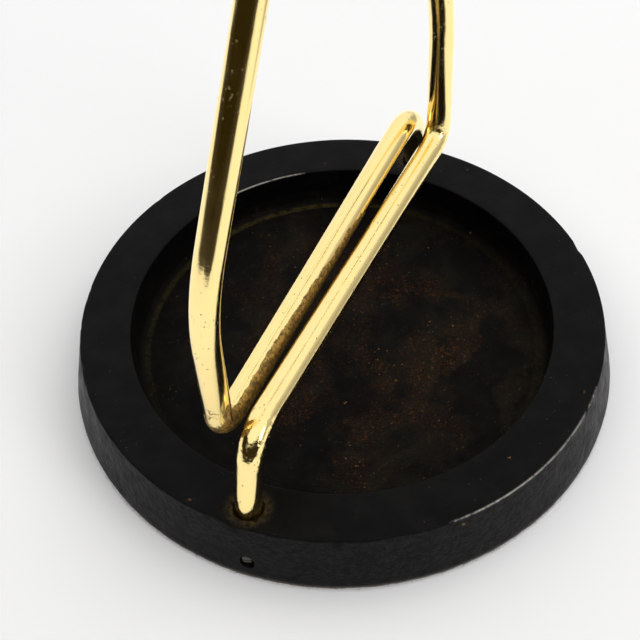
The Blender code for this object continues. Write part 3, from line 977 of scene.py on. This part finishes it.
def build_floor():
    half = FLOOR_HALF_SIZE
    mesh = bpy.data.meshes.new("pale_table")
    corners = [(x, y, FLOOR_HEIGHT) for x, y in ((-half, -half), (half, -half), (half, half), (-half, half))]
    mesh.from_pydata(corners, [], [(0, 1, 2, 3)])
    floor = bpy.data.objects.new("pale_table", mesh)
    bpy.context.scene.collection.objects.link(floor)
    mesh.materials.append(floor_material())


def build_world():
    """White studio all round, dimmer at the right, dark behind the photographer and at the left."""
    world = bpy.data.worlds.new("studio")
    bpy.context.scene.world = world
    world.use_nodes = True
    g = Graph(world.node_tree)
    background = world.node_tree.nodes["Background"]
    direction = g.node("ShaderNodeTexCoord").outputs["Generated"]
    across, depth, up = g.node("ShaderNodeSeparateXYZ", {0: direction}).outputs
    room = g.mix(g.ramp(up, 0.15, 0.9), grey(1.06), grey(1.15))

    right = g.maths("MULTIPLY", g.ramp(across, 0.45, 0.70), g.ramp(up, 0.40, 0.50, 1.0, 0.0))
    wall = g.mix(g.ramp(up, -0.05, 0.42), grey(0.42), grey(0.66))
    room = g.mix(right, room, wall)

    # Line where the wall behind the object meets the ceiling.
    seam = g.maths("MULTIPLY", g.ramp(up, 0.806, 0.812), g.ramp(up, 0.818, 0.824, 1.0, 0.0))
    room = g.mix(g.maths("MULTIPLY", seam, g.ramp(depth, 0.0, 0.1)), room, grey(0.68))

    behind_camera = g.ramp(depth, -0.70, -0.60, 1.0, 0.0)
    left = g.maths("MULTIPLY", g.ramp(across, -0.70, -0.60, 1.0, 0.0),
                   g.ramp(depth, 0.20, 0.40, 1.0, 0.0))
    dark = g.maths("MULTIPLY", g.maths("MAXIMUM", behind_camera, left), g.ramp(up, 0.52, 0.66, 1.0, 0.0))
    room = g.mix(dark, room, DARK_ROOM)

    toward_light = g.node("ShaderNodeVectorMath", {0: direction, 1: FRONT_LIGHT}, operation="DOT_PRODUCT")
    room = g.mix(g.ramp(toward_light.outputs["Value"], 0.972, 0.984), room, grey(5.0))
    seen = g.node("ShaderNodeLightPath").outputs["Is Camera Ray"]
    g.feed(background.inputs["Color"], g.mix(seen, room, grey(0.9)))
    background.inputs["Strength"].default_value = 1.0


def add_area_light(name, place, target, size, power):
    """Soft light that lights surfaces but isn't seen in reflections."""
    light = bpy.data.lights.new(name, "AREA")
    light.shape = "SQUARE"
    light.size = size
    light.energy = power
    lamp = bpy.data.objects.new(name, light)
    bpy.context.scene.collection.objects.link(lamp)
    lamp.location = place
    aim = Vector(target) - Vector(place)
    lamp.rotation_euler = aim.to_track_quat("-Z", "Y").to_euler()
    lamp.visible_glossy = False


def build_camera():
    camera = bpy.data.cameras.new("photographer")
    camera.sensor_width = SENSOR_WIDTH
    camera.lens = CAMERA_LENS
    camera.clip_start = 0.01
    eye = bpy.data.objects.new("photographer", camera)
    bpy.context.scene.collection.objects.link(eye)
    tilt = Matrix.Rotation(math.pi / 2 - CAMERA_PITCH, 4, "X") @ Matrix.Rotation(CAMERA_ROLL, 4, "Z")
    eye.matrix_world = Matrix.Translation(CAMERA_PLACE) @ tilt
    bpy.context.scene.camera = eye


def main():
    brass = brass_material()
    braze = braze_material()
    steel = steel_material()
    felt = felt_material()
    build_casting(iron_material())
    build_felt(felt)
    build_fibres(felt)
    build_ring(brass)
    for side in TURNS:
        build_rod(side, brass)
        build_fillet(side, braze)
        build_screw(side, steel)
    build_floor()
    build_world()
    add_area_light("window", (0.9, 0.5, 1.6), (0, 0, 0.05), 1.5, 8.0)
    build_camera()
    bpy.context.scene.view_settings.view_transform = "Standard"


main()
